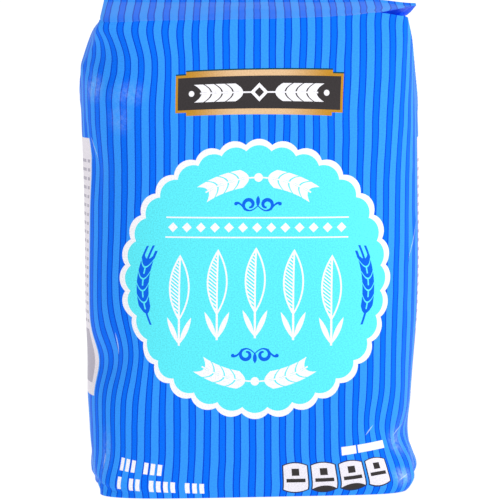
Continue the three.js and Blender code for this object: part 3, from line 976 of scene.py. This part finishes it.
def rubbed_ink_and_sheen(tree, place):
    """How pale the ink is painted, partly from rubbing and partly as painted sheen, more over the high
    fibres than the low ones.
    """
    spot = add(tree, "CombineXYZ", [place.around, place.up])
    whole = 0
    for x, y, across, high, strength in RUBBED_AND_SHEEN:
        patch = [spot, (x, y, 0), (0, 0, 0), (across, high, 1)]
        away = add(tree, "Mapping", patch, vector_type="TEXTURE")
        away = add(tree, "VectorMath", [away], out=1, operation="LENGTH")
        part = add(tree, "MapRange", [away, 0, 1, strength, 0], interpolation_type="SMOOTHSTEP")
        whole = add(tree, "Math", [whole, part], operation="MAXIMUM")
    size = {"Vector": place.paper, "Scale": 1 / RUBBED_AND_SHEEN_GRAIN, "Detail": 3}
    grain = add(tree, "TexNoise", size, noise_dimensions="2D")
    grain = add(tree, "MapRange", [grain, *RUBBED_AND_SHEEN_LEVELS, *RUBBED_AND_SHEEN_STRENGTH])
    return add(tree, "Math", [whole, grain], operation="MULTIPLY", use_clamp=True)


# Pale lines along creases: partly cracked ink, partly painted highlight
def cracks_and_crease_highlights(tree, place):
    lines = join(tree, [
        blade(tree, place.around, place.up, (x, y), (CREASE_LINE_HALF, half), turn)
        for x, y, half, turn in CREASE_LINES
    ])
    return add(tree, "Math", [lines, CREASE_LINE_COVER], operation="MULTIPLY")


def tuck_shade_mask(tree, place):
    """Painted shade: how deep blue the paper is painted inside the tucks, where little light gets in."""
    inside = add(tree, "Math", [place.up, TUCK_SHIFT / 2], operation="GREATER_THAN")
    return add(tree, "Math", [inside, TUCK_SHADE_COVER], operation="MULTIPLY")


# What is laid over the light ground, in order, with the name of each one's colour: the print, then pale
# patches and lines that are partly wear and partly painted sheen and highlights, then painted shade in the
# tucks
LAYERS = (
    (dark_stripes, "dark_stripe"),
    (stripe_lines, "stripe_line"),
    (side_fields, "paper_white"),
    (side_rows, "row_grey"),
    (badge_rim, "rim_white"),
    (badge_face, "badge_blue"),
    (wheat_ears, "ornament"),
    (scrolls, "ornament"),
    (garlands, "rim_white"),
    (beads, "rim_white"),
    (stalks, "rim_white"),
    (plaque_edge, "plaque_edge"),
    (plaque_gold, "gold"),
    (plaque_shine, "pale_gold"),
    (plaque_field, "plaque"),
    (plaque_sprig, "rim_white"),
    (corner_bars, "rim_white"),
    (heading_bars, "rim_white"),
    (tile_outlines, "navy"),
    (tile_faces, "tile_white"),
    (tile_marks, "plaque"),
    (rubbed_ink_and_sheen, "pale_ink_and_sheen"),
    (cracks_and_crease_highlights, "pale_ink_and_sheen"),
    (tuck_shade_mask, "painted_tuck_shade"),
)


def printed_paper(colours):
    """Bleached sack kraft, flexo printed in flat inks and lightly varnished.

    The inks are flat and a little mottled by the fibres under them, and the varnish gives folds and slopes
    a soft pale sheen. Over the print, pale patches and lines are painted, partly rubbed and cracked ink and
    partly sheen and highlights, and the inside of the tucks is painted with shade.
    """
    material = bpy.data.materials.new("bleached sack kraft, flexo printed")
    material.use_nodes = True
    tree = material.node_tree
    tree.nodes.clear()
    place = paper_place(tree)
    paint = colours.light_stripe
    for draw, name in LAYERS:
        mask = draw(tree, place)
        inks = {0: mask, 6: paint, 7: getattr(colours, name)}
        paint = add(tree, "Mix", inks, out=2, data_type="RGBA")
    size = {"Vector": place.paper, "Scale": 1 / FIBRE_SIZE, "Detail": 3}
    fibres = add(tree, "TexNoise", size, noise_dimensions="2D")
    shade = add(tree, "MapRange", [fibres, *FIBRE_LEVELS, *FIBRE_SHADE])
    paint = add(tree, "VectorMath", {0: paint, 3: shade}, operation="SCALE")
    rough = add(tree, "MapRange", [fibres, *FIBRE_LEVELS, *FIBRE_ROUGHNESS])
    grain = add(tree, "Bump", {"Strength": 0.25, "Distance": FIBRE_HEIGHT * MM, "Height": fibres})
    skin = add(tree, "BsdfPrincipled", {
        "Base Color": paint, "Roughness": rough, "Normal": grain, "IOR": 1.5, "Specular IOR Level": 0.06,
    })
    add(tree, "OutputMaterial", [skin])
    return material


def length(name, value, description):
    """A length in metres that shows in the sidebar."""
    return bpy.props.FloatProperty(name=name, description=description, default=value, unit="LENGTH")


def ink(name, code, description):
    """A colour of the print."""
    return bpy.props.FloatVectorProperty(
        name=name, description=description, default=linear(code), size=4, subtype="COLOR", min=0, max=1
    )


class FlourBagPaper(bpy.types.PropertyGroup):
    """The sack's folds, the colours of its print, and the colours of its painted sheen and shade."""

    crumple: bpy.props.FloatProperty(
        name="Crumple", description="How deep the crumples and creases are", default=1, min=0, max=2,
        subtype="FACTOR",
    )
    light_stripe: ink("Light stripe", "#3397ff", "The print's ground, between the dark stripes")
    dark_stripe: ink("Dark stripe", "#006ef8", "The narrow stripes")
    stripe_line: ink("Stripe line", "#0046d2", "The thin line along both edges of a dark stripe")
    badge_blue: ink("Badge", "#5ee9f6", "The middle of the round badge")
    rim_white: ink("Rim", "#f6f5fb", "The badge's rim and the white ornaments")
    ornament: ink("Ornament", "#0864e6", "The wheat ears and scrolls")
    plaque: ink("Plaque", "#3a3637", "The dark plaque")
    gold: ink("Gold", "#c08a2a", "The ends of the plaque's border")
    pale_gold: ink("Pale gold", "#e2bd92", "The middle of the plaque's border")
    plaque_edge: ink("Plaque edge", "#0c4a55", "The line along the top of the plaque")
    navy: ink("Navy", "#2b3658", "The outline of the tiles")
    tile_white: ink("Tile", "#ece8f3", "The tiles")
    paper_white: ink("Side panel", "#e9e4ec", "The white panels on the sides")
    row_grey: ink("Side rows", "#b8b3c1", "The grey bars on the side panels")
    # Partly wear, partly painted sheen: the pale blue of the rubbed and cracked ink, also used for the
    # painted sheen and crease highlights
    pale_ink_and_sheen: ink("Worn ink", "#b9d6fb", "Where the ink is rubbed or cracked")
    # Painted shade: the deep blue painted over the paper inside the tucks
    painted_tuck_shade: ink("Tuck", "#0538dc", "The deep blue inside the tucks")


class FlourBagStage(bpy.types.PropertyGroup):
    """The floor, lights and camera."""

    distance: length("Distance", 1.35, "From the camera to the middle of the front")
    aside: length("Aside", -0.46 * MM, "How far the camera stands to the right")
    aim: length("Aim", 0.1172, "Height of the point that the camera looks at")
    aim_y: length("Aim depth", -0.05, "Where the plane that the camera looks at stands")
    raise_angle: bpy.props.FloatProperty(
        name="Raise", description="How far the camera looks down", default=math.radians(6.5),
        subtype="ANGLE",
    )
    lens: bpy.props.FloatProperty(
        name="Lens", description="Focal length on a 36 mm sensor, in millimetres", default=210.4
    )
    sky: bpy.props.FloatProperty(name="Sky", description="Strength of the light all round", default=0.78)
    key: bpy.props.FloatProperty(
        name="Key light", description="Power of the key light", default=2.4, subtype="POWER"
    )
    floor: length("Floor", 40, "Width of the floor")


class FLOURBAG_OT_sack(bpy.types.Operator):
    """Make the filled sack of printed paper"""

    bl_idname = "flour_bag.sack"
    bl_label = "Make sack"

    def execute(self, context):
        colours = context.scene.flour_bag_paper
        sack = bpy.data.objects.new("paper_sack", sack_mesh("paper_sack", colours.crumple))
        context.collection.objects.link(sack)
        sack.data.materials.append(printed_paper(colours))
        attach(sack, "root")
        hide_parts(SOLID)
        return {"FINISHED"}


# The key light, in metres, and the camera's fixed values
KEY_SIZE = 0.3
KEY_PLACE = (0.55, -0.4, 0.5)
KEY_AIM = (0, 0, 0.12)
SENSOR_WIDTH = 36
CLIP_END = 100


def floor_material():
    """Opal acrylic lit from inside: pure white right up to the sack, and it throws light up at it."""
    material = bpy.data.materials.new("opal acrylic, lit from inside")
    material.use_nodes = True
    tree = material.node_tree
    tree.nodes.clear()
    board = add(tree, "BsdfPrincipled", {
        "Base Color": linear("#404040"), "Roughness": 0.9,
        "Emission Color": linear("#ffffff"), "Emission Strength": 1,
    })
    add(tree, "OutputMaterial", [board])
    return material


class FLOURBAG_OT_stage(bpy.types.Operator):
    """Make the floor, the soft lights and the camera"""

    bl_idname = "flour_bag.stage"
    bl_label = "Make stage"

    def execute(self, context):
        scene = context.scene
        stage = scene.flour_bag_stage
        bm = bmesh.new()
        bmesh.ops.create_grid(bm, x_segments=1, y_segments=1, size=stage.floor / 2)
        mesh = bpy.data.meshes.new("floor")
        bm.to_mesh(mesh)
        bm.free()
        floor = bpy.data.objects.new("floor", mesh)
        floor.data.materials.append(floor_material())
        context.collection.objects.link(floor)

        lamp = bpy.data.lights.new("key light", "AREA")
        lamp.energy = stage.key
        lamp.size = KEY_SIZE
        light = bpy.data.objects.new("key light", lamp)
        light.location = KEY_PLACE
        aim = Vector(KEY_AIM) - light.location
        light.rotation_euler = aim.to_track_quat("-Z", "Y").to_euler()
        context.collection.objects.link(light)

        world = bpy.data.worlds.new("white room")
        world.use_nodes = True
        world.node_tree.nodes.clear()
        sky = add(world.node_tree, "Background", {"Color": (1, 1, 1, 1), "Strength": stage.sky})
        add(world.node_tree, "OutputWorld", [sky])
        scene.world = world
        scene.view_settings.view_transform = "Standard"

        data = bpy.data.cameras.new("camera")
        data.lens = stage.lens
        data.sensor_width = SENSOR_WIDTH
        data.clip_end = CLIP_END
        camera = bpy.data.objects.new("camera", data)
        back = stage.distance * math.cos(stage.raise_angle)
        lift = stage.distance * math.sin(stage.raise_angle)
        camera.location = (stage.aside, stage.aim_y - back, stage.aim + lift)
        camera.rotation_euler = (math.pi / 2 - stage.raise_angle, 0, 0)
        context.collection.objects.link(camera)
        scene.camera = camera
        return {"FINISHED"}


class FLOURBAG_PT_panel(bpy.types.Panel):
    """Lists the sack and stage with their settings"""

    bl_idname = "FLOURBAG_PT_panel"
    bl_label = "Flour bag"
    bl_space_type = "VIEW_3D"
    bl_region_type = "UI"
    bl_category = "Flour bag"

    def draw(self, context):
        for operator, group in (
            (FLOURBAG_OT_sack, context.scene.flour_bag_paper),
            (FLOURBAG_OT_stage, context.scene.flour_bag_stage),
        ):
            box_layout = self.layout.box()
            box_layout.operator(operator.bl_idname)
            for name in group.__annotations__:
                box_layout.prop(group, name)


CLASSES = (FlourBagPaper, FlourBagStage, FLOURBAG_OT_sack, FLOURBAG_OT_stage, FLOURBAG_PT_panel)


def register():
    for cls in CLASSES:
        bpy.utils.register_class(cls)
    bpy.types.Scene.flour_bag_paper = bpy.props.PointerProperty(type=FlourBagPaper)
    bpy.types.Scene.flour_bag_stage = bpy.props.PointerProperty(type=FlourBagStage)


def unregister():
    del bpy.types.Scene.flour_bag_stage
    del bpy.types.Scene.flour_bag_paper
    for cls in reversed(CLASSES):
        bpy.utils.unregister_class(cls)


def main():
    register()
    bpy.ops.flour_bag.stage()
    bpy.ops.flour_bag.sack()


if __name__ == "__main__":
    main()
